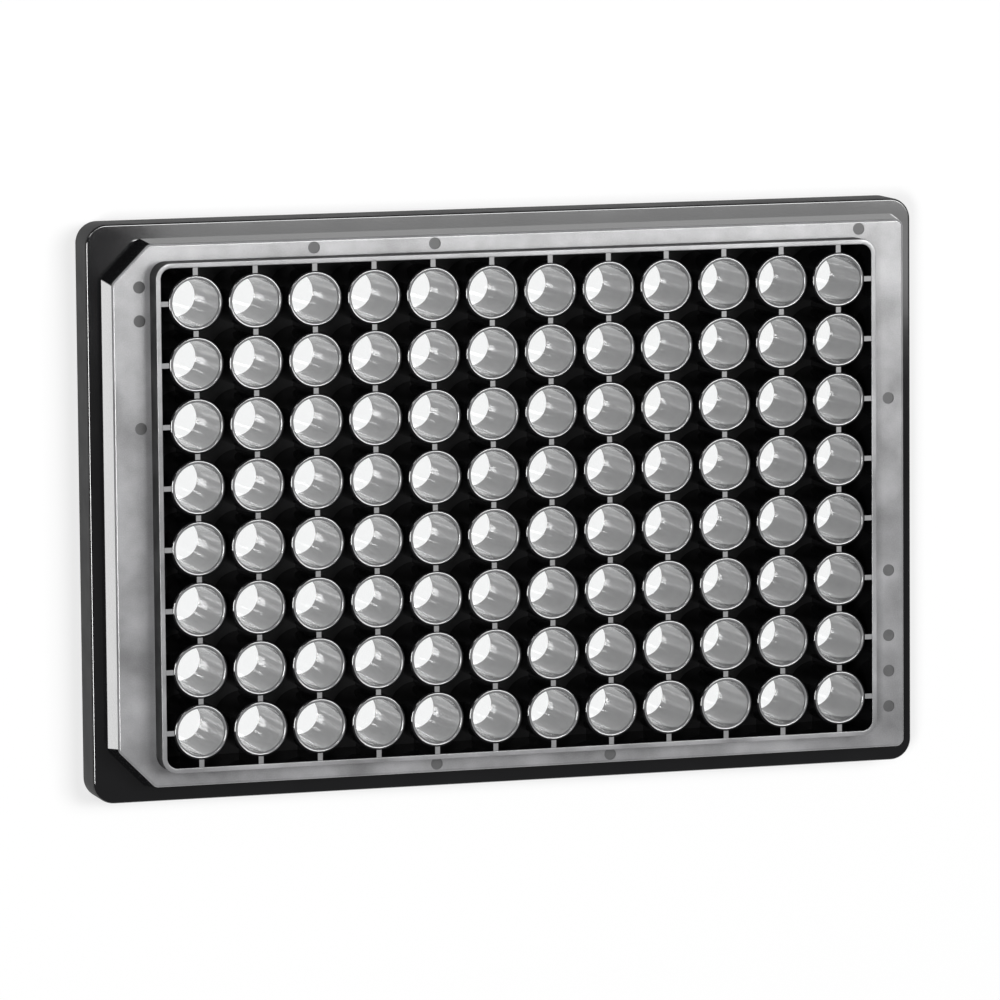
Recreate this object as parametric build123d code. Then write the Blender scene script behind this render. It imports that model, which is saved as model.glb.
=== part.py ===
"""96-well microplate: a black moulded body with open tubes, closed by one clear sheet.

Sizes are in millimetres. The origin is the middle of the base, +Z is up, +X runs from
column 1 to column 12 and +Y from the last row to the first.
"""
from build123d import *
import os

# The grid of wells.
ROWS = 8
COLUMNS = 12
PITCH = 9.0                # from well to well, along rows and columns alike

# One well: a tube that stands on the floor web.
WELL_TOP_DIAMETER = 6.96
WELL_BOTTOM_DIAMETER = 6.0
TUBE_WALL = 0.67           # at the mouth
MOUTH_CHAMFER = 0.12

# Levels, stacked from the base up: 14.35 in all.
SHEET_LIFT = 1.5           # base to the underside of the clear sheet
SHEET_THICKNESS = 0.25
FLANGE_HEIGHT = 6.1        # base to the top of the flange
SIDE_HEIGHT = 4.59         # flange to the deck
RIM_RISE = 3.66            # deck to the rims of the wells

# Plan, from the wells outwards: 127.76 by 85.48 at the base.
FIELD_GAP = 1.05           # outermost tubes to the rim wall
RIM_WALL = 0.75            # thickness of the wall around the wells
END_DECK = 5.63            # deck beyond the rim wall, at the two short sides
SIDE_DECK = 2.49           # and at the two long sides
SIDE_SPREAD = 0.5          # how much further out the side wall stands at its foot
LEDGE = 2.3                # flange top beyond the foot of the side wall

# Corners, seen from above.
FIELD_CORNER = 1.6         # inside of the rim wall
CUT_CORNER = 5.5           # the two cut corners of the deck, at column 1
DECK_CORNER = 1.2          # its two rounded corners, at the last column
FLANGE_CORNER = 3.18

# Walls and edges of the moulding.
SKIN = 1.2                 # flange, side wall and deck
FLOOR_WEB = 1.2            # the web that joins the feet of the tubes
EDGE_ROUND = 0.35          # outer edges of the flange and the deck
RIM_ROUND = 0.12           # edges of the rim wall
RIB = 0.75                 # thickness of the ribs between tubes
RIB_DROP = 0.12            # rims down to the tops of the ribs
RIB_BITE = 0.2             # how far a rib runs into what it joins
SHEET_INSET = 0.5          # rim wall's outer face to the edge of the clear sheet

# Ejector marks on the deck, placed by row or column number along each side.
MARK_DIAMETER = 1.8
MARK_DEPTH = 0.12
FIRST_END_ROWS = (0.75, 1.3, 3.05)
LAST_END_ROWS = (3.05, 5.95, 7.05, 7.65, 8.25)
FIRST_SIDE_COLUMNS = (3.1, 5.15, 12.5)
LAST_SIDE_COLUMNS = (5.1, 8.1)
FIRST_END_MARKS_OUT = 1.6  # from the rim wall, at column 1
LAST_END_MARKS_OUT = 3.2   # and at the last column

# Levels and sizes that follow from those above.
ledge_z = FLANGE_HEIGHT
deck_z = ledge_z + SIDE_HEIGHT
rim_z = deck_z + RIM_RISE
sheet_z = SHEET_LIFT + SHEET_THICKNESS
floor_z = sheet_z + FLOOR_WEB

well_r = WELL_TOP_DIAMETER / 2
well_foot_r = WELL_BOTTOM_DIAMETER / 2
tube_r = well_r + TUBE_WALL

field_x = (COLUMNS - 1) * PITCH / 2 + tube_r + FIELD_GAP
field_y = (ROWS - 1) * PITCH / 2 + tube_r + FIELD_GAP
rim_x, rim_y = field_x + RIM_WALL, field_y + RIM_WALL
deck_x, deck_y = rim_x + END_DECK, rim_y + SIDE_DECK
foot_x, foot_y = deck_x + SIDE_SPREAD, deck_y + SIDE_SPREAD
base_x, base_y = foot_x + LEDGE, foot_y + LEDGE


def column_x(number):
    """X of a column, counted from 1."""
    return (number - (COLUMNS + 1) / 2) * PITCH


def row_y(number):
    """Y of a row, counted from 1 at the +Y side."""
    return ((ROWS + 1) / 2 - number) * PITCH


def rounded_slab(half_x, half_y, corner, bottom, top):
    """A block with four equal round corners, given by its half sizes."""
    plan = RectangleRounded(2 * half_x, 2 * half_y, corner)
    return extrude(Pos(0, 0, bottom) * plan, top - bottom)


def deck_outline(half_x, half_y, cut, corner):
    """The deck's outline: cut corners at column 1, round ones at the last column."""
    plan = Rectangle(2 * half_x, 2 * half_y)
    first_end = plan.vertices().filter_by(lambda v: v.X < 0)
    last_end = plan.vertices().filter_by(lambda v: v.X > 0)
    plan = chamfer(first_end, cut)
    return fillet(plan.vertices().filter_by(lambda v: v.X > half_x - cut / 2), corner)


def upper_block(inset, bottom, top):
    """The part above the flange, narrowing to the deck, its sides moved in by inset."""
    lean = SIDE_SPREAD / SIDE_HEIGHT
    cut = CUT_CORNER - inset * (2 - 2 ** 0.5)
    corner = max(DECK_CORNER - inset, 0.1)
    plans = []
    for level in (bottom, top):
        spread = (deck_z - level) * lean - inset
        plans.append(Pos(0, 0, level) * deck_outline(deck_x + spread, deck_y + spread, cut, corner))
    return loft(plans)


def outer_shell():
    """Flange, side wall and deck as one skin, open below and over the wells."""
    flange = rounded_slab(base_x, base_y, FLANGE_CORNER, 0, ledge_z)
    rim = flange.faces().sort_by(Axis.Z)[-1]
    flange = fillet(rim.edges(), EDGE_ROUND)
    upper = upper_block(0, ledge_z - SKIN, deck_z)
    upper = fillet(upper.faces().sort_by(Axis.Z)[-1].edges(), EDGE_ROUND)
    flange_hollow = rounded_slab(base_x - SKIN, base_y - SKIN, FLANGE_CORNER - SKIN, 0, ledge_z - SKIN)
    upper_hollow = upper_block(SKIN, ledge_z - SKIN, deck_z - SKIN)
    return flange + upper - flange_hollow - upper_hollow


def field_wall():
    """The wall around the wells, from the clear sheet up to the level of the rims."""
    wall = rounded_slab(rim_x, rim_y, FIELD_CORNER + RIM_WALL, sheet_z, rim_z)
    wall -= rounded_slab(field_x, field_y, FIELD_CORNER, sheet_z, rim_z)
    return fillet(wall.faces().sort_by(Axis.Z)[-1].edges(), RIM_ROUND)


def well_bore():
    """The space inside one well, with its chamfered mouth."""
    profile = Polyline(
        (0, sheet_z), (well_foot_r, sheet_z), (well_r, rim_z - MOUTH_CHAMFER),
        (well_r + MOUTH_CHAMFER, rim_z), (0, rim_z), close=True)
    return revolve(Plane.XZ * make_face(profile), Axis.Z)


def ribs():
    """Thin ribs: along each column, and from the end walls to the end columns."""
    height = rim_z - RIB_DROP - sheet_z
    middle = sheet_z + height / 2
    plates = []
    along_column = 2 * (field_y + RIB_BITE)
    for column in range(1, COLUMNS + 1):
        plates.append(Pos(column_x(column), 0, middle) * Box(RIB, along_column, height))
    reach = field_x - column_x(COLUMNS) - well_r
    for row in range(1, ROWS + 1):
        for side in (-1, 1):
            x = side * (field_x + RIB_BITE - reach / 2)
            plates.append(Pos(x, row_y(row), middle) * Box(reach, RIB, height))
    return plates


def ejector_marks():
    """Shallow round marks left by the mould's ejector pins in the deck."""
    side_y = rim_y + SIDE_DECK / 2
    places = [(-rim_x - FIRST_END_MARKS_OUT, row_y(row)) for row in FIRST_END_ROWS]
    places += [(rim_x + LAST_END_MARKS_OUT, row_y(row)) for row in LAST_END_ROWS]
    places += [(column_x(column), side_y) for column in FIRST_SIDE_COLUMNS]
    places += [(column_x(column), -side_y) for column in LAST_SIDE_COLUMNS]
    pin = Cylinder(MARK_DIAMETER / 2, 2 * MARK_DEPTH)
    return [Pos(x, y, deck_z) * pin for x, y in places]


def plate_body():
    """The black moulding."""
    places = [(column_x(c), row_y(r)) for r in range(1, ROWS + 1) for c in range(1, COLUMNS + 1)]
    tube = extrude(Pos(0, 0, sheet_z) * Circle(tube_r), rim_z - sheet_z)
    bore = well_bore()
    web = rounded_slab(field_x + RIB_BITE, field_y + RIB_BITE, FIELD_CORNER, sheet_z, floor_z)
    field = rounded_slab(field_x, field_y, FIELD_CORNER, 0, rim_z)

    shell = outer_shell() - field
    body = shell + field_wall() + [web] + ribs()
    body += [Pos(x, y) * tube for x, y in places]
    body -= [Pos(x, y) * bore for x, y in places]
    return body - ejector_marks()


def clear_base():
    """The clear sheet bonded under the web, which closes every well."""
    half_x, half_y = rim_x - SHEET_INSET, rim_y - SHEET_INSET
    return rounded_slab(half_x, half_y, FIELD_CORNER, SHEET_LIFT, sheet_z)


def main():
    os.makedirs("parts", exist_ok=True)
    pieces = {"plate_body": plate_body(), "clear_base": clear_base()}
    for name, piece in pieces.items():
        solids = piece.solids()
        solid = solids[0] if len(solids) == 1 else Compound(children=solids)
        export_step(solid, f"parts/{name}.step")
        size = solid.bounding_box().size
        print(f"{name}: {len(solids)} solid(s), {size.X:.2f} x {size.Y:.2f} x {size.Z:.2f} mm")


main()
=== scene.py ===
# %% [markdown]
# # A 96-well plate
# A well plate is a black plastic moulding with 96 open tubes, closed underneath by one clear
# sheet. The solids come from the CAD model as a fixed frame; this script gives them their looks.
# It starts by loading that frame, whose box also gives the plate's outer sizes.

# %% Load the frame
import math
import bmesh
import bpy
from mathutils import Matrix, Vector


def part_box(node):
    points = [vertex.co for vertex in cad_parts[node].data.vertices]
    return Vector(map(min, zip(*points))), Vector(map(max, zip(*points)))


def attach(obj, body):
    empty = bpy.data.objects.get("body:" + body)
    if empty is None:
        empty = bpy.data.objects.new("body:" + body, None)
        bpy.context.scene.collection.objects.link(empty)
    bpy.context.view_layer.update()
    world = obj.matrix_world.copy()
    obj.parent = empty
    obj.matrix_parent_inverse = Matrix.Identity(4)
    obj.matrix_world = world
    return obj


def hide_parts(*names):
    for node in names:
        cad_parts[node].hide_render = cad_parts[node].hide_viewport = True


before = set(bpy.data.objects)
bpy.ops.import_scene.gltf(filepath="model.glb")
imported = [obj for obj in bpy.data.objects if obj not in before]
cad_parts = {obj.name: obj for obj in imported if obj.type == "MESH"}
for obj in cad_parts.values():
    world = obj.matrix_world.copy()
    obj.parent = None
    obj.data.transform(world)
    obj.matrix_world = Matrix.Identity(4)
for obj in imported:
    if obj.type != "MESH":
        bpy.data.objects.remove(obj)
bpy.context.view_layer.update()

# %% [markdown]
# The plate's own sizes, in metres. Outer sizes are read from the frame, so they always agree with
# the solids. The others repeat the sizes of the moulding: the grid, one well, and its walls.

# %% Sizes of the plate
MM = 0.001

body_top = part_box("plate_body")[1]
base_x, base_y, rim_z = body_top
sheet_top_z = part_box("clear_base")[1].z

ROWS, COLUMNS, PITCH = 8, 12, 9.0 * MM
WELL_R, WELL_FOOT_R, TUBE_WALL = 3.48 * MM, 3.0 * MM, 0.67 * MM
FIELD_GAP, RIM_WALL = 1.05 * MM, 0.75 * MM
LEDGE, SIDE_SPREAD, SKIN, FLOOR_WEB = 2.3 * MM, 0.5 * MM, 1.2 * MM, 1.2 * MM
RIM_RISE, FLANGE_HEIGHT = 3.66 * MM, 6.1 * MM
FIELD_CORNER, CUT_CORNER, DECK_CORNER, FLANGE_CORNER = 1.6 * MM, 5.5 * MM, 1.2 * MM, 3.18 * MM
RIB, RIB_DROP, RIB_BITE = 0.75 * MM, 0.12 * MM, 0.2 * MM
SEAM = 0.01 * MM           # between faces that would otherwise lie in one plane

tube_r = WELL_R + TUBE_WALL
field_x = (COLUMNS - 1) * PITCH / 2 + tube_r + FIELD_GAP
field_y = (ROWS - 1) * PITCH / 2 + tube_r + FIELD_GAP
rim_x, rim_y = field_x + RIM_WALL, field_y + RIM_WALL
foot_x, foot_y = base_x - LEDGE, base_y - LEDGE
deck_x, deck_y = foot_x - SIDE_SPREAD, foot_y - SIDE_SPREAD
ledge_z, deck_z = FLANGE_HEIGHT, rim_z - RIM_RISE
web_z = sheet_top_z + SEAM
web_top_z = sheet_top_z + FLOOR_WEB
print("plate, mm:", [round(2 * v / MM, 2) for v in (base_x, base_y)], "by", round(rim_z / MM, 2))

# %% [markdown]
# ## Stage, camera and light
# The camera looks down from the plate's upper left. It is placed by the point it aims at, its
# distance and three angles, as on a tripod.

# %% Camera
AIM = Vector((-3.58 * MM, 0.72 * MM, rim_z))
CAMERA_DISTANCE = 1.0841
CAMERA_AZIMUTH, CAMERA_ELEVATION, CAMERA_ROLL = 157.43, 71.72, -0.48
FOCAL_LENGTH, SENSOR = 264.5, 36.0


def direction(azimuth, elevation):
    """The unit vector that points from the plate to somewhere around it, in degrees."""
    around, up = math.radians(azimuth), math.radians(elevation)
    return Vector((math.cos(up) * math.cos(around), math.cos(up) * math.sin(around), math.sin(up)))


def aimed(place, target, roll=0.0):
    """The matrix of a camera or lamp at place that looks at target, its top towards +Y."""
    back = (place - target).normalized()
    right = Vector((0, 1, 0)).cross(back).normalized()
    up = back.cross(right)
    turn = Matrix((right, up, back)).transposed().to_4x4()
    return Matrix.Translation(place) @ turn @ Matrix.Rotation(math.radians(roll), 4, "Z")


camera_data = bpy.data.cameras.new("camera")
camera_data.lens, camera_data.sensor_width = FOCAL_LENGTH, SENSOR
camera = bpy.data.objects.new("camera", camera_data)
bpy.context.collection.objects.link(camera)
camera.matrix_world = aimed(
    AIM + CAMERA_DISTANCE * direction(CAMERA_AZIMUTH, CAMERA_ELEVATION), AIM, CAMERA_ROLL)
bpy.context.scene.camera = camera
print("camera at", [round(v, 4) for v in camera.matrix_world.translation])

# %% [markdown]
# Black plastic shows its form through what it mirrors, so every lamp is placed by reflection. The
# three far lamps stand beyond the last column. The level deck mirrors the first two into the
# camera, and the dim fringe beside them turns the top of the flange slate grey. The two strips
# shine down into the wells from the left and the back, and draw the bright streaks on their walls.
# Together they are just bright enough to light white paper up to white.

# %% Lamps
LAMPS = (                  # name, azimuth, elevation, distance, size, radiance
    ("far_box", 26.3, 66.3, 1.0, (0.52, 0.40), 6.5),
    ("far_core", 18.4, 67.7, 0.98, (0.52, 0.16), 8.0),
    ("far_fringe", -7.8, 70.5, 1.0, (0.28, 0.05), 1.6),
    ("left_strip", 187.6, 63.0, 1.0, (0.19, 0.28), 28.0),
    ("back_strip", 129.8, 71.8, 1.0, (0.19, 0.08), 15.0),
)


def soft_lamp(name, azimuth, elevation, distance, size, radiance):
    """A rectangular lamp that faces the plate; radiance is its brightness, where 1 is white."""
    lamp = bpy.data.lights.new(name, "AREA")
    lamp.shape, lamp.size, lamp.size_y = "RECTANGLE", size[0], size[1]
    lamp.energy = radiance * math.pi * size[0] * size[1]
    thing = bpy.data.objects.new(name, lamp)
    bpy.context.collection.objects.link(thing)
    centre = Vector((0, 0, rim_z))
    thing.matrix_world = aimed(centre + distance * direction(azimuth, elevation), centre)
    print(name, "power", round(lamp.energy, 2), "W")


for lamp_row in LAMPS:
    soft_lamp(*lamp_row)

# %% [markdown]
# The world is a faint even sky, so black plastic mirrors a dark room and stays black. The camera,
# also through clear plastic, sees it as the white of a backdrop.

# %% World
SKY, BACKDROP = 0.08, 1.0


def any_ray(nodes, links, path, kinds):
    """1 for rays of any of these kinds, else 0; path is a Light Path node."""
    seen = path.outputs[kinds[0]]
    for kind in kinds[1:]:
        either = nodes.new("ShaderNodeMath")
        either.operation = "MAXIMUM"
        links.new(seen, either.inputs[0])
        links.new(path.outputs[kind], either.inputs[1])
        seen = either.outputs[0]
    return seen


def studio_world():
    """The faint sky, white to the camera."""
    world = bpy.data.worlds.new("studio")
    world.use_nodes = True
    nodes, links = world.node_tree.nodes, world.node_tree.links
    sky = nodes["Background"]
    sky.inputs["Color"].default_value = (1, 1, 1, 1)
    path = nodes.new("ShaderNodeLightPath")
    level = nodes.new("ShaderNodeMapRange")
    level.inputs["To Min"].default_value = SKY
    level.inputs["To Max"].default_value = BACKDROP
    white_for = any_ray(nodes, links, path, ("Is Camera Ray", "Is Transmission Ray"))
    links.new(white_for, level.inputs["Value"])
    links.new(level.outputs["Result"], sky.inputs["Strength"])
    return world


bpy.context.scene.world = studio_world()
bpy.context.scene.view_settings.view_transform = "Standard"
print("sky", SKY, "backdrop", BACKDROP)

# %% [markdown]
# The floor is white paper, lit like everything else, so it keeps the plate's soft shadow. Mirrors
# and clear plastic see it as plain white, which shows through the bottom of every well. It lies a
# hair below the plate's foot, so that the two never share a plane.

# %% Floor
FLOOR_SIZE = 6.0
FLOOR_GLOW = 0.6           # the share of plain white that the camera sees in the floor


def paper_white():
    """White paper that keeps shadows, partly brightened for the camera, white in mirrors."""
    material = bpy.data.materials.new("white_table")
    material.use_nodes = True
    nodes, links = material.node_tree.nodes, material.node_tree.links
    nodes.clear()
    path = nodes.new("ShaderNodeLightPath")
    paper = nodes.new("ShaderNodeBsdfDiffuse")
    paper.inputs["Color"].default_value = (0.92, 0.92, 0.92, 1)
    seen = nodes.new("ShaderNodeMath")
    seen.operation = "MULTIPLY"
    seen.inputs[1].default_value = FLOOR_GLOW
    links.new(path.outputs["Is Camera Ray"], seen.inputs[0])
    share = nodes.new("ShaderNodeMath")
    share.operation = "MAXIMUM"
    links.new(seen.outputs[0], share.inputs[0])
    links.new(any_ray(nodes, links, path, ("Is Glossy Ray", "Is Transmission Ray")), share.inputs[1])
    white, mix = nodes.new("ShaderNodeEmission"), nodes.new("ShaderNodeMixShader")
    links.new(share.outputs[0], mix.inputs[0])
    links.new(paper.outputs[0], mix.inputs[1])
    links.new(white.outputs[0], mix.inputs[2])
    out = nodes.new("ShaderNodeOutputMaterial")
    links.new(mix.outputs[0], out.inputs["Surface"])
    return material


bpy.ops.mesh.primitive_plane_add(size=FLOOR_SIZE, location=(0, 0, -SEAM))
floor = bpy.context.object
floor.name = "floor"
floor.data.materials.append(paper_white())
print("floor", FLOOR_SIZE, "m square")

# %% [markdown]
# ## Finishes
# One black plastic takes several finishes from its mould, and all of them share one effect, the
# faint unevenness that plastic takes on as it cools against the steel. A picture of it would be
# tied to one surface and one size, so it is a node group made of noise, with its own inputs.

# %% Node group: the unevenness of moulded plastic
def group_sockets(group, inputs, outputs):
    """Adds number sockets, given as name: value for the inputs, and returns both group nodes."""
    for name, value in inputs.items():
        socket = group.interface.new_socket(name, in_out="INPUT", socket_type="NodeSocketFloat")
        socket.default_value = value
    for name in outputs:
        group.interface.new_socket(name, in_out="OUTPUT", socket_type="NodeSocketFloat")
    return group.nodes.new("NodeGroupInput"), group.nodes.new("NodeGroupOutput")


def moulded_unevenness():
    """Long waves and fine grain as a height, and a roughness that follows the waves."""
    group = bpy.data.node_groups.new("moulded_unevenness", "ShaderNodeTree")
    given, result = group_sockets(
        group,
        {"Wave Scale": 60.0, "Grain Scale": 3000.0, "Grain": 0.5, "Roughness": 0.1, "Spread": 0.05},
        ("Height", "Roughness"))
    place = group.nodes.new("ShaderNodeTexCoord")
    wave = group.nodes.new("ShaderNodeTexNoise")
    wave.inputs["Detail"].default_value = 3.0
    grain = group.nodes.new("ShaderNodeTexNoise")
    grain.inputs["Detail"].default_value = 4.0
    weigh = group.nodes.new("ShaderNodeMath")
    weigh.operation = "MULTIPLY_ADD"
    rough = group.nodes.new("ShaderNodeMath")
    rough.operation = "MULTIPLY_ADD"
    link = group.links.new
    for noise, scale in ((wave, "Wave Scale"), (grain, "Grain Scale")):
        link(place.outputs["Object"], noise.inputs["Vector"])
        link(given.outputs[scale], noise.inputs["Scale"])
    link(grain.outputs["Fac"], weigh.inputs[0])
    link(given.outputs["Grain"], weigh.inputs[1])
    link(wave.outputs["Fac"], weigh.inputs[2])
    link(wave.outputs["Fac"], rough.inputs[0])
    link(given.outputs["Spread"], rough.inputs[1])
    link(given.outputs["Roughness"], rough.inputs[2])
    link(weigh.outputs[0], result.inputs["Height"])
    link(rough.outputs[0], result.inputs["Roughness"])
    return group


unevenness = moulded_unevenness()
print("node group", unevenness.name)

# %% [markdown]
# The side wall, the top of the flange and the outsides of the tubes come off polished steel and
# mirror like black glass. The bores of the wells are as glossy, with a grey base that is painted
# sheen. The deck is a mottled satin, lightened by painted sheen, and the rims of the tubes and ribs
# a fine dull edge whose grey is painted sheen. The skirt, the wall around the wells and the web are
# matt, and the ends of the mould's pins leave dull marks. One function makes them all, since they
# differ only in values.

# %% Black plastic
POLYSTYRENE_IOR = 1.59
POLISHED_SHINE, MATT_SHINE, PIN_SHINE = 1.0, 0.3, 0.5     # 0.5 is bare plastic


def black_plastic(name, values, bump, shades, shine=POLISHED_SHINE):
    """Black polystyrene between two shades; values set its unevenness, bump how high that is."""
    material = bpy.data.materials.new(name)
    material.use_nodes = True
    nodes, links = material.node_tree.nodes, material.node_tree.links
    skin = nodes["Principled BSDF"]
    skin.inputs["IOR"].default_value = POLYSTYRENE_IOR
    skin.inputs["Specular IOR Level"].default_value = shine
    uneven = nodes.new("ShaderNodeGroup")
    uneven.node_tree = unevenness
    for socket, value in values.items():
        uneven.inputs[socket].default_value = value
    tint = nodes.new("ShaderNodeMix")
    tint.data_type = "RGBA"
    tint.inputs["A"].default_value = (*shades[0], 1)
    tint.inputs["B"].default_value = (*shades[1], 1)
    relief = nodes.new("ShaderNodeBump")
    relief.inputs["Distance"].default_value = bump
    links.new(uneven.outputs["Height"], tint.inputs["Factor"])
    links.new(tint.outputs["Result"], skin.inputs["Base Color"])
    links.new(uneven.outputs["Roughness"], skin.inputs["Roughness"])
    links.new(uneven.outputs["Height"], relief.inputs["Height"])
    links.new(relief.outputs["Normal"], skin.inputs["Normal"])
    return material


POLISHED = {"Grain Scale": 2500.0, "Grain": 0.05, "Roughness": 0.03, "Spread": 0.06}
DULL = {"Wave Scale": 220.0, "Grain Scale": 6000.0, "Grain": 0.3, "Roughness": 0.30, "Spread": 0.2}

BLACK = (0.004, 0.004, 0.0045), (0.009, 0.009, 0.010)
# The bores' grey base is painted sheen: it lifts their black walls towards the light they reflect.
BORE_PAINTED_SHEEN = (0.16, 0.16, 0.165), (0.24, 0.24, 0.245)
# The deck's random mottle is its own tone; its lightness, up to light grey, is painted sheen.
DECK_MOTTLE_AND_PAINTED_SHEEN = (0.0, 0.0, 0.0), (0.37, 0.37, 0.38)
# The grey on the rims of the tubes and ribs is painted sheen.
RIM_PAINTED_SHEEN = (0.03, 0.03, 0.032), (0.16, 0.16, 0.165)
PIN_GREY = (0.02, 0.02, 0.021), (0.06, 0.06, 0.062)
DULL_BUMP = 0.02 * MM

gloss = black_plastic("black_gloss", {**POLISHED, "Wave Scale": 100.0}, 0.006 * MM, BLACK)
bore = black_plastic("well_bore", {**POLISHED, "Wave Scale": 140.0}, 0.01 * MM, BORE_PAINTED_SHEEN)
satin = black_plastic(
    "satin_with_painted_sheen", {**DULL, "Wave Scale": 120.0, "Roughness": 0.13, "Spread": 0.15},
    DULL_BUMP, DECK_MOTTLE_AND_PAINTED_SHEEN)
edge = black_plastic("edge_painted_sheen", DULL, DULL_BUMP, RIM_PAINTED_SHEEN)
pin_end = black_plastic("pin_end", {**DULL, "Wave Scale": 400.0}, DULL_BUMP, PIN_GREY, PIN_SHINE)
matt = black_plastic("black_matt", {**DULL, "Roughness": 0.55}, DULL_BUMP, BLACK, MATT_SHINE)
print("finishes:", [finish.name for finish in (gloss, bore, satin, edge, pin_end, matt)])

# %% [markdown]
# ## The outer shell
# Flange, side wall, deck and the wall around the wells are one skin. Its section never changes on
# the way round, only its corners do: they are round on the flange, and two are cut off at the
# deck. So it is lofted from closed outlines, one for each line of the section.

# %% Outlines
CORNER_STEPS = 12


def arc(centre, radius, start, end, steps):
    """Points of an arc between two angles in degrees."""
    points = []
    for i in range(steps):
        angle = math.radians(start + (end - start) * i / (steps - 1))
        points.append((centre[0] + radius * math.cos(angle), centre[1] + radius * math.sin(angle)))
    return points


def outline(half_x, half_y, radius, cut=0.0):
    """A rectangle's outline, anticlockwise, with round corners or, at -X, cut ones."""
    points = []
    for side_x, side_y, start in ((1, 1, 0), (-1, 1, 90), (-1, -1, 180), (1, -1, 270)):
        if cut and side_x < 0:
            points += cut_corner(side_x * half_x, side_y * half_y, cut, radius, start)
        else:
            centre = (side_x * (half_x - radius), side_y * (half_y - radius))
            points += arc(centre, radius, start, start + 90, CORNER_STEPS)
    return points


def cut_corner(x, y, cut, radius, start):
    """A corner cut at 45 degrees, with both of its ends rounded."""
    back = cut + radius * math.tan(math.radians(22.5))
    side_x, side_y = math.copysign(1, x), math.copysign(1, y)
    along_x = (x - side_x * back, y - side_y * radius)
    along_y = (x - side_x * radius, y - side_y * back)
    first, second = (along_x, along_y) if start == 90 else (along_y, along_x)
    half = CORNER_STEPS // 2
    return (arc(first, radius, start, start + 45, half)
            + arc(second, radius, start + 45, start + 90, half))


print("points in one outline:", len(outline(base_x, base_y, FLANGE_CORNER)))

# %% [markdown]
# Each line of the section is (inset from the widest outline, level). An edge that the mould rounds
# is a few such pairs on a quarter circle.

# %% Lofting
ROUND_STEPS = 6


def rounding(corner_at, level, radius, side):
    """(inset, level) pairs of a rounded top edge; side is 1 where the level top lies inwards."""
    pairs = []
    for i in range(ROUND_STEPS + 1):
        angle = math.radians(90 * i / ROUND_STEPS)
        pairs.append((corner_at + side * radius * (1 - math.cos(angle)),
                      level - radius * (1 - math.sin(angle))))
    return pairs


def loft(name, rings):
    """A closed ring-shaped mesh through outlines, each (points, level); the last joins the first."""
    mesh_bm = bmesh.new()
    loops = [[mesh_bm.verts.new((x, y, level)) for x, y in points] for points, level in rings]
    count = len(loops[0])
    for lower, upper in zip(loops, loops[1:] + loops[:1]):
        for i in range(count):
            j = (i + 1) % count
            mesh_bm.faces.new((lower[i], lower[j], upper[j], upper[i]))
    bmesh.ops.recalc_face_normals(mesh_bm, faces=mesh_bm.faces)
    mesh = bpy.data.meshes.new(name)
    mesh_bm.to_mesh(mesh)
    mesh_bm.free()
    print(name, len(mesh.polygons), "faces")
    return mesh


# %% [markdown]
# The section starts at the foot of the skirt, goes up and over the deck and the rim wall, and comes
# back down inside them, one skin's thickness away.

# %% The shell's section
EDGE_ROUND, RIM_ROUND, SMALLEST_CORNER = 0.35 * MM, 0.12 * MM, 0.1 * MM
LEAN = SIDE_SPREAD / (deck_z - ledge_z)


def flange(inset, level):
    """The flange's outline, moved in by inset, at a level."""
    return outline(base_x - inset, base_y - inset, FLANGE_CORNER - inset), level


def upper(inset, level):
    """The outline above the flange, which narrows to the deck and has the two cut corners."""
    spread = (deck_z - level) * LEAN - inset
    cut = CUT_CORNER - inset * (2 - math.sqrt(2))
    corner = max(DECK_CORNER - inset, SMALLEST_CORNER)
    return outline(deck_x + spread, deck_y + spread, corner, cut), level


def rim(inset, level):
    """The outline of the wall around the wells."""
    return outline(rim_x - inset, rim_y - inset, FIELD_CORNER + RIM_WALL - inset), level


rings = [flange(0, 0)]
rings += [flange(*pair) for pair in rounding(0, ledge_z, EDGE_ROUND, 1)]
rings += [upper(0, ledge_z)]
rings += [upper(*pair) for pair in rounding(0, deck_z, EDGE_ROUND, 1)]
rings += [rim(0, deck_z)]
rings += [rim(*pair) for pair in rounding(0, rim_z, RIM_ROUND, 1)]
rings += [rim(*pair) for pair in reversed(rounding(RIM_WALL, rim_z, RIM_ROUND, -1))]
rings += [rim(RIM_WALL, web_z), rim(0, web_z), rim(0, deck_z - SKIN)]
rings += [upper(SKIN, deck_z - SKIN), upper(SKIN, ledge_z - SKIN)]
rings += [flange(SKIN, ledge_z - SKIN), flange(SKIN, 0)]
shell_mesh = loft("outer_shell", rings)

# %% [markdown]
# The ejector pins of the mould leave shallow round marks in the deck. They are cut with a Boolean,
# whose cutter brings its own finish along, so each mark shows the dull end of its pin.

# %% Ejector marks
FACES_UP = 0.5             # a face is level if its normal rises more than this, upright below it
MARK_RADIUS, MARK_DEPTH, MARK_SIDES = 0.9 * MM, 0.12 * MM, 24
FIRST_END_ROWS, LAST_END_ROWS = (0.75, 1.3, 3.05), (3.05, 5.95, 7.05, 7.65, 8.25)
FIRST_SIDE_COLUMNS, LAST_SIDE_COLUMNS = (3.1, 5.15, 12.5), (5.1, 8.1)
FIRST_END_OUT, LAST_END_OUT = 1.6 * MM, 3.2 * MM


def column_x(number):
    """X of a column, counted from 1."""
    return (number - (COLUMNS + 1) / 2) * PITCH


def row_y(number):
    """Y of a row, counted from 1 at the +Y side."""
    return ((ROWS + 1) / 2 - number) * PITCH


side_deck_y = (rim_y + deck_y) / 2
marks = [(-rim_x - FIRST_END_OUT, row_y(row)) for row in FIRST_END_ROWS]
marks += [(rim_x + LAST_END_OUT, row_y(row)) for row in LAST_END_ROWS]
marks += [(column_x(column), side_deck_y) for column in FIRST_SIDE_COLUMNS]
marks += [(column_x(column), -side_deck_y) for column in LAST_SIDE_COLUMNS]


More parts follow.
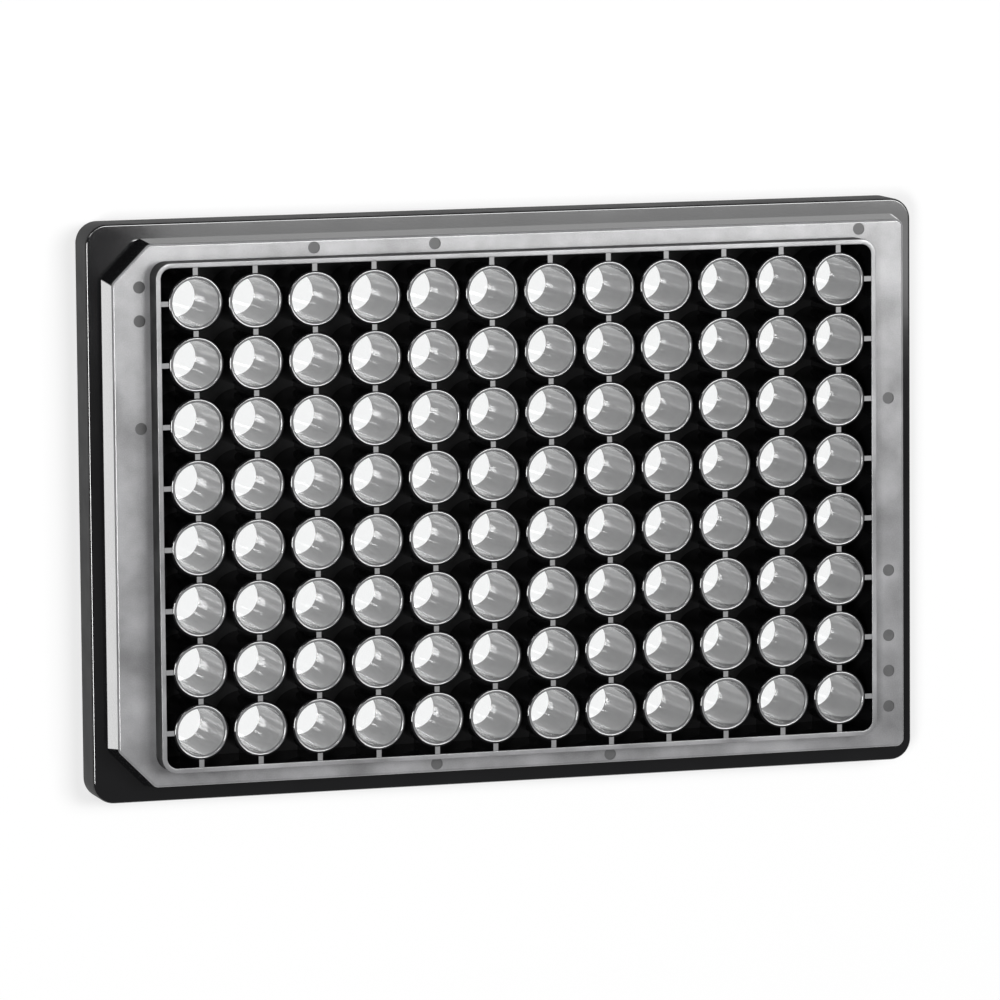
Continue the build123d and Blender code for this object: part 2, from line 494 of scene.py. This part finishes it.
def pins():
    """One mesh with all the mould's pins, for cutting."""
    mesh_bm = bmesh.new()
    for x, y in marks:
        place = Matrix.Translation((x, y, deck_z))
        bmesh.ops.create_cone(mesh_bm, cap_ends=True, segments=MARK_SIDES, matrix=place,
                              radius1=MARK_RADIUS, radius2=MARK_RADIUS, depth=2 * MARK_DEPTH)
    mesh = bpy.data.meshes.new("pins")
    mesh_bm.to_mesh(mesh)
    mesh_bm.free()
    return mesh


def placed(name, mesh):
    """A new object in the scene that holds the mesh."""
    thing = bpy.data.objects.new(name, mesh)
    bpy.context.collection.objects.link(thing)
    return thing


def baked(thing):
    """The object with its modifiers applied, as a plain mesh."""
    evaluated = thing.evaluated_get(bpy.context.evaluated_depsgraph_get())
    mesh = bpy.data.meshes.new_from_object(evaluated)
    thing.modifiers.clear()
    thing.data = mesh
    return thing


def finish_shell(mesh):
    """Satin on the deck and the rim's top, matt on the skirt and the rim wall, gloss elsewhere."""
    for finish in (gloss, satin, matt):
        mesh.materials.append(finish)
    all_gloss, level_satin, upright_matt = range(3)
    for face in mesh.polygons:
        tilt, level = face.normal.z, face.center.z
        on_top = any(abs(level - top) < EDGE_ROUND for top in (deck_z, rim_z))
        if tilt > FACES_UP and on_top:
            face.material_index = level_satin
        elif abs(tilt) < FACES_UP and not ledge_z < level < deck_z:
            face.material_index = upright_matt
        else:
            face.material_index = all_gloss


finish_shell(shell_mesh)
outer_shell = placed("outer_shell", shell_mesh)
pin_mesh = pins()
pin_mesh.materials.append(pin_end)
cutter = placed("mould_pins", pin_mesh)
cut = outer_shell.modifiers.new("marks", "BOOLEAN")
cut.operation, cut.object = "DIFFERENCE", cutter
cut.solver, cut.material_mode = "EXACT", "TRANSFER"
baked(outer_shell)
bpy.data.objects.remove(cutter)
print("outer_shell", len(outer_shell.data.polygons), "faces after", len(marks), "marks")

# %% [markdown]
# ## The web
# A thin web joins the feet of all the tubes. It is a plate with 96 holes. Cut with a Boolean, its
# top would be one face full of holes, which shades badly. So each hole gets a ring of faces between
# its circle and the borders of its own square, and the squares meet at shared edges.

# %% The web with its holes
AROUND = 48                # straight pieces in each circle; a multiple of 8 keeps square corners
MERGE_DISTANCE = 0.002 * MM


def cell_reach(number, count, field):
    """From a hole's centre to its square's lower and upper borders; end squares reach the wall."""
    last = field + RIM_WALL / 2 - (count - 1) * PITCH / 2
    return (last if number == 0 else PITCH / 2), (last if number == count - 1 else PITCH / 2)


def square_with_hole(mesh_bm, x, y, reaches):
    """Faces between a hole at x, y and its square; reaches are left, right, back and front."""
    left, right, back, front = reaches
    hole_radius = WELL_R + TUBE_WALL / 2
    rounds = {}
    for level in (web_z, web_top_z):
        inner, outer = [], []
        for i in range(AROUND):
            angle = 2 * math.pi * i / AROUND
            along, up = math.cos(angle), math.sin(angle)
            longer = max(abs(along), abs(up))
            out_x = along / longer * (right if along > 0 else left)
            out_y = up / longer * (front if up > 0 else back)
            inner.append(mesh_bm.verts.new((x + hole_radius * along, y + hole_radius * up, level)))
            outer.append(mesh_bm.verts.new((x + out_x, y + out_y, level)))
        rounds[level] = inner, outer
    (low_in, low_out), (top_in, top_out) = rounds[web_z], rounds[web_top_z]
    for i in range(AROUND):
        j = (i + 1) % AROUND
        mesh_bm.faces.new((top_in[i], top_out[i], top_out[j], top_in[j]))
        mesh_bm.faces.new((low_in[j], low_out[j], low_out[i], low_in[i]))
        mesh_bm.faces.new((low_in[i], top_in[i], top_in[j], low_in[j]))


def web():
    """The plate with its 96 holes: the squares are joined where they meet, then closed around."""
    mesh_bm = bmesh.new()
    for row in range(ROWS):
        for column in range(COLUMNS):
            reaches = cell_reach(column, COLUMNS, field_x) + cell_reach(row, ROWS, field_y)
            x, y = (column - (COLUMNS - 1) / 2) * PITCH, (row - (ROWS - 1) / 2) * PITCH
            square_with_hole(mesh_bm, x, y, reaches)
    bmesh.ops.remove_doubles(mesh_bm, verts=mesh_bm.verts, dist=MERGE_DISTANCE)
    border = [edge for edge in mesh_bm.edges if edge.is_boundary]
    bmesh.ops.bridge_loops(mesh_bm, edges=border)
    bmesh.ops.recalc_face_normals(mesh_bm, faces=mesh_bm.faces)
    mesh = bpy.data.meshes.new("floor_web")
    mesh_bm.to_mesh(mesh)
    mesh_bm.free()
    mesh.materials.append(matt)
    return mesh


floor_web = placed("floor_web", web())
print("floor_web", len(floor_web.data.polygons), "faces")

# %% [markdown]
# ## The wells
# All 96 tubes are one rule: the same wall, turned round an upright axis and repeated on a 9 mm
# grid. Geometry Nodes say that directly. A profile of the wall is swept round a circle, and the
# result is instanced on the points of a grid. Sizes are inputs of the tree, so a deeper or wider
# well is a changed number.

# %% Geometry Nodes helpers
NUMBER, DISTANCE, FINISH = "NodeSocketInt", "NodeSocketFloat", "NodeSocketMaterial"


def geometry_tree(name, inputs):
    """A tree with inputs given as name: (socket type, value); returns it, its inputs and its end."""
    tree = bpy.data.node_groups.new(name, "GeometryNodeTree")
    tree.interface.new_socket("Geometry", in_out="OUTPUT", socket_type="NodeSocketGeometry")
    for label, (kind, value) in inputs.items():
        socket = tree.interface.new_socket(label, in_out="INPUT", socket_type=kind)
        if value is not None:
            socket.default_value = value
    given, result = tree.nodes.new("NodeGroupInput"), tree.nodes.new("NodeGroupOutput")
    return tree, given.outputs, result.inputs[0]


def maths(tree, operation, *values):
    """A maths node over numbers and sockets; returns its output."""
    node = tree.nodes.new("ShaderNodeMath")
    node.operation = operation
    for socket, value in zip(node.inputs, values):
        if isinstance(value, (int, float)):
            socket.default_value = value
        else:
            tree.links.new(value, socket)
    return node.outputs[0]


def vector(tree, **parts):
    """A vector made from sockets for any of X, Y and Z; the others stay 0."""
    node = tree.nodes.new("ShaderNodeCombineXYZ")
    for axis, socket in parts.items():
        tree.links.new(socket, node.inputs[axis])
    return node.outputs[0]


def finished(tree, geometry, finish, selection=None):
    """The geometry with a finish on all its faces, or only on the selected ones."""
    node = tree.nodes.new("GeometryNodeSetMaterial")
    tree.links.new(geometry, node.inputs["Geometry"])
    tree.links.new(finish, node.inputs["Material"])
    if selection:
        tree.links.new(selection, node.inputs["Selection"])
    return node.outputs[0]


def by_facing(tree, given, geometry):
    """The wall's finish everywhere, then the rim's finish on what faces up."""
    normal = tree.nodes.new("GeometryNodeInputNormal")
    split = tree.nodes.new("ShaderNodeSeparateXYZ")
    tree.links.new(normal.outputs[0], split.inputs[0])
    up = maths(tree, "GREATER_THAN", split.outputs["Z"], FACES_UP)
    walls = finished(tree, geometry, given["Wall Finish"])
    return finished(tree, walls, given["Rim Finish"], up)


def grown(name, tree, finishes):
    """An object made by the tree, as a plain mesh; finishes go to the tree's inputs of that name."""
    thing = placed(name, bpy.data.meshes.new(name))
    modifier = thing.modifiers.new(name, "NODES")
    modifier.node_group = tree
    for item in tree.interface.items_tree:
        if item.in_out == "INPUT" and item.name in finishes:
            modifier[item.identifier] = finishes[item.name]
        elif item.in_out == "INPUT":
            modifier[item.identifier] = item.default_value
    baked(thing)
    if thing.data.materials[0] is None:      # the tree's own primitives start without a finish
        thing.data.materials.pop(index=0)
    print(name, len(thing.data.polygons), "faces,", [m.name for m in thing.data.materials])
    return thing


print("helpers:", [helper.__name__ for helper in (maths, vector, finished, by_facing, grown)])

# %% [markdown]
# The profile of a wall is four corners, rounded off. Before the tube is repeated, each of its faces
# keeps its distance from the axis, and that number tells the bore from the outside at the end.

# %% The wall's profile, the grid, and the distance from the axis
MOUTH_ROUND, EDGE_STEPS = 0.3 * MM, 4


def wall_profile(tree, given, outside):
    """The rounded profile of a tube's wall: X goes outwards from the sweep, Y downwards."""
    top = maths(tree, "MULTIPLY", given["Height"], -1.0)
    mouth = maths(tree, "SUBTRACT", given["Mouth Radius"], outside)
    foot = maths(tree, "SUBTRACT", given["Foot Radius"], outside)
    wall = tree.nodes.new("GeometryNodeCurvePrimitiveQuadrilateral")
    wall.mode = "POINTS"
    corners = ({}, {"Y": top}, {"X": mouth, "Y": top}, {"X": foot})
    for number, corner in enumerate(corners, 1):
        tree.links.new(vector(tree, **corner), wall.inputs[f"Point {number}"])
    rounded = tree.nodes.new("GeometryNodeFilletCurve")
    rounded.mode = "POLY"
    rounded.inputs["Count"].default_value = EDGE_STEPS
    tree.links.new(wall.outputs["Curve"], rounded.inputs["Curve"])
    tree.links.new(given["Edge Round"], rounded.inputs["Radius"])
    return rounded.outputs["Curve"]


def well_grid(tree, given):
    """The centres of all wells, as the points of a grid at the foot's level."""
    grid, lift = tree.nodes.new("GeometryNodeMeshGrid"), tree.nodes.new("GeometryNodeTransform")
    tree.links.new(given["Columns"], grid.inputs["Vertices X"])
    tree.links.new(given["Rows"], grid.inputs["Vertices Y"])
    for side, count in (("Size X", "Columns"), ("Size Y", "Rows")):
        steps = maths(tree, "SUBTRACT", given[count], 1.0)
        tree.links.new(maths(tree, "MULTIPLY", steps, given["Pitch"]), grid.inputs[side])
    tree.links.new(grid.outputs["Mesh"], lift.inputs["Geometry"])
    tree.links.new(vector(tree, Z=given["Foot Level"]), lift.inputs["Translation"])
    return lift.outputs["Geometry"]


def from_axis(tree):
    """How far the present place is from the tube's axis."""
    place = tree.nodes.new("GeometryNodeInputPosition")
    apart = tree.nodes.new("ShaderNodeSeparateXYZ")
    length = tree.nodes.new("ShaderNodeVectorMath")
    length.operation = "LENGTH"
    tree.links.new(place.outputs[0], apart.inputs[0])
    level = vector(tree, X=apart.outputs["X"], Y=apart.outputs["Y"])
    tree.links.new(level, length.inputs[0])
    return length.outputs["Value"]


print("a wall of", round(TUBE_WALL / MM, 2), "mm, its edges rounded in", EDGE_STEPS, "steps")

# %% [markdown]
# The tree of a tube has four steps. It sweeps the profile round a circle, keeps each face's distance
# from the axis, repeats the tube on the grid, and gives the faces their finishes.

# %% The tree of the tubes
def tube_tree():
    """The tree that sweeps one tube, repeats it on the grid and gives it its finishes."""
    tree, given, result = geometry_tree("well_tubes", {
        "Rows": (NUMBER, ROWS), "Columns": (NUMBER, COLUMNS), "Pitch": (DISTANCE, PITCH),
        "Mouth Radius": (DISTANCE, WELL_R), "Foot Radius": (DISTANCE, WELL_FOOT_R),
        "Wall": (DISTANCE, TUBE_WALL), "Height": (DISTANCE, rim_z - web_z),
        "Foot Level": (DISTANCE, web_z), "Edge Round": (DISTANCE, MOUTH_ROUND),
        "Around": (NUMBER, AROUND), "Wall Finish": (FINISH, None), "Rim Finish": (FINISH, None),
        "Bore Finish": (FINISH, None)})
    add, link = tree.nodes.new, tree.links.new

    outside = maths(tree, "ADD", given["Mouth Radius"], given["Wall"])
    circle, sweep = add("GeometryNodeCurvePrimitiveCircle"), add("GeometryNodeCurveToMesh")
    link(given["Around"], circle.inputs["Resolution"])
    link(outside, circle.inputs["Radius"])
    link(circle.outputs["Curve"], sweep.inputs["Curve"])
    link(wall_profile(tree, given, outside), sweep.inputs["Profile Curve"])

    keep = add("GeometryNodeCaptureAttribute")
    keep.domain = "FACE"
    keep.capture_items.new("FLOAT", "From Axis")
    link(sweep.outputs["Mesh"], keep.inputs["Geometry"])
    link(from_axis(tree), keep.inputs["From Axis"])

    spread, real = add("GeometryNodeInstanceOnPoints"), add("GeometryNodeRealizeInstances")
    link(well_grid(tree, given), spread.inputs["Points"])
    link(keep.outputs["Geometry"], spread.inputs["Instance"])
    link(spread.outputs["Instances"], real.inputs["Geometry"])

    middle = maths(tree, "MULTIPLY_ADD", given["Wall"], 0.5, given["Mouth Radius"])
    inside = maths(tree, "LESS_THAN", keep.outputs["From Axis"], middle)
    outsides = by_facing(tree, given, real.outputs["Geometry"])
    link(finished(tree, outsides, given["Bore Finish"], inside), result)
    return tree


TUBE_FINISHES = {"Wall Finish": gloss, "Rim Finish": edge, "Bore Finish": bore}
well_tubes = grown("well_tubes", tube_tree(), TUBE_FINISHES)

# %% [markdown]
# ## The ribs
# Thin ribs tie the tubes together along each column, and tie the outermost tubes to the wall.
# Every rib is a small upright plate. So one tree places a box on a line of points, and that row on
# a second line. It grows three sets: between the tubes, and from the end tubes to the wall on the
# long and on the short sides.

# %% The tree of the ribs
def line_of_points(tree, given, axis, start):
    """Points in steps along X or Y, from the start vector."""
    line = tree.nodes.new("GeometryNodeMeshLine")
    tree.links.new(given[f"Count {axis}"], line.inputs["Count"])
    tree.links.new(start, line.inputs["Start Location"])
    tree.links.new(vector(tree, **{axis: given[f"Step {axis}"]}), line.inputs["Offset"])
    return line.outputs["Mesh"]


def rib_tree(name, along, across, places_x, places_y):
    """Boxes of along by across, at every pair of the given places, each (first, step, count)."""
    tree, given, result = geometry_tree(name, {
        "Along X": (DISTANCE, along), "Along Y": (DISTANCE, across),
        "Height": (DISTANCE, rim_z - RIB_DROP - web_z), "Foot Level": (DISTANCE, web_z),
        "First X": (DISTANCE, places_x[0]), "Step X": (DISTANCE, places_x[1]),
        "Count X": (NUMBER, places_x[2]), "First Y": (DISTANCE, places_y[0]),
        "Step Y": (DISTANCE, places_y[1]), "Count Y": (NUMBER, places_y[2]),
        "Wall Finish": (FINISH, None), "Rim Finish": (FINISH, None)})
    add, link = tree.nodes.new, tree.links.new
    box = add("GeometryNodeMeshCube")
    size = vector(tree, X=given["Along X"], Y=given["Along Y"], Z=given["Height"])
    link(size, box.inputs["Size"])
    middle = maths(tree, "MULTIPLY_ADD", given["Height"], 0.5, given["Foot Level"])
    row, field = add("GeometryNodeInstanceOnPoints"), add("GeometryNodeInstanceOnPoints")
    first_x, first_y = vector(tree, X=given["First X"]), vector(tree, Y=given["First Y"], Z=middle)
    link(line_of_points(tree, given, "X", first_x), row.inputs["Points"])
    link(box.outputs["Mesh"], row.inputs["Instance"])
    link(line_of_points(tree, given, "Y", first_y), field.inputs["Points"])
    link(row.outputs["Instances"], field.inputs["Instance"])
    real = add("GeometryNodeRealizeInstances")
    link(field.outputs["Instances"], real.inputs["Geometry"])
    link(by_facing(tree, given, real.outputs["Geometry"]), result)
    return tree


def joined(name, things):
    """Several mesh objects as one; the first keeps its place in the scene."""
    bpy.ops.object.select_all(action="DESELECT")
    for thing in things:
        thing.select_set(True)
    bpy.context.view_layer.objects.active = things[0]
    bpy.ops.object.join()
    things[0].name = things[0].data.name = name
    return things[0]


end_x, end_y = column_x(COLUMNS), row_y(1)
between = PITCH - 2 * (tube_r - RIB_BITE)
to_wall_x = field_x - end_x - tube_r + 2 * RIB_BITE
to_wall_y = field_y - end_y - tube_r + 2 * RIB_BITE
wall_mid_x, wall_mid_y = (field_x + end_x + tube_r) / 2, (field_y + end_y + tube_r) / 2
rib_sets = {
    "tube_ribs": (RIB, between, (-end_x, PITCH, COLUMNS), (row_y(ROWS - 0.5), PITCH, ROWS - 1)),
    "side_ribs": (RIB, to_wall_y, (-end_x, PITCH, COLUMNS), (-wall_mid_y, 2 * wall_mid_y, 2)),
    "end_ribs": (to_wall_x, RIB, (-wall_mid_x, 2 * wall_mid_x, 2), (-end_y, PITCH, ROWS))}
rib_finishes = {"Wall Finish": gloss, "Rim Finish": edge}
ribs = joined("ribs", [
    grown(name, rib_tree(name, *sizes), rib_finishes) for name, sizes in rib_sets.items()])
print("ribs", len(ribs.data.polygons), "faces")

# %% [markdown]
# ## Smooth where the mould is smooth
# Curved walls are shaded smooth and real edges stay sharp. Normals are then weighted by area, so
# a wide flat face isn't bent by the fine rounding beside it. On gloss plastic that would show.

# %% Smooth shading
SHARP_ANGLE = math.radians(24)


def smoothed(thing):
    """Smooth shading up to the sharp angle, with normals weighted by area, as a plain mesh."""
    thing.data.shade_smooth()
    thing.data.set_sharp_from_angle(angle=SHARP_ANGLE)
    weigh = thing.modifiers.new("weigh", "WEIGHTED_NORMAL")
    weigh.mode, weigh.weight, weigh.keep_sharp = "FACE_AREA", 100, True
    return baked(thing)


for piece in (outer_shell, floor_web, well_tubes, ribs):
    smoothed(piece)
    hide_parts("plate_body")
    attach(piece, "root")
    print(piece.name, len(piece.data.polygons), "faces stand for plate_body")

# %% [markdown]
# ## The clear sheet
# The sheet that closes the wells keeps its CAD solid. Its finish is clear plastic, whose smoothness
# varies faintly like that of extruded film. Shadow rays pass straight through it, so the lamps
# light the inside of the wells and the floor below them.

# %% Clear plastic
FILM = {"Wave Scale": 90.0, "Grain Scale": 900.0, "Grain": 0.05, "Roughness": 0.0, "Spread": 0.04}
CLEAR, SHADOW_PASSES = (0.99, 1, 1, 1), (0.9, 0.9, 0.9, 1)


def clear_plastic():
    """Clear film that lets shadow rays pass."""
    material = bpy.data.materials.new("clear_film")
    material.use_nodes = True
    nodes, links = material.node_tree.nodes, material.node_tree.links
    skin = nodes["Principled BSDF"]
    skin.inputs["Base Color"].default_value = CLEAR
    skin.inputs["Transmission Weight"].default_value = 1.0
    skin.inputs["IOR"].default_value = POLYSTYRENE_IOR
    uneven = nodes.new("ShaderNodeGroup")
    uneven.node_tree = unevenness
    for socket, value in FILM.items():
        uneven.inputs[socket].default_value = value
    links.new(uneven.outputs["Roughness"], skin.inputs["Roughness"])
    path, passed = nodes.new("ShaderNodeLightPath"), nodes.new("ShaderNodeBsdfTransparent")
    passed.inputs["Color"].default_value = SHADOW_PASSES
    mix, out = nodes.new("ShaderNodeMixShader"), nodes["Material Output"]
    links.new(path.outputs["Is Shadow Ray"], mix.inputs[0])
    links.new(skin.outputs[0], mix.inputs[1])
    links.new(passed.outputs[0], mix.inputs[2])
    links.new(mix.outputs[0], out.inputs["Surface"])
    return material


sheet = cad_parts["clear_base"]
sheet.data.materials.clear()
sheet.data.materials.append(clear_plastic())
print("clear_base wears", sheet.data.materials[0].name)
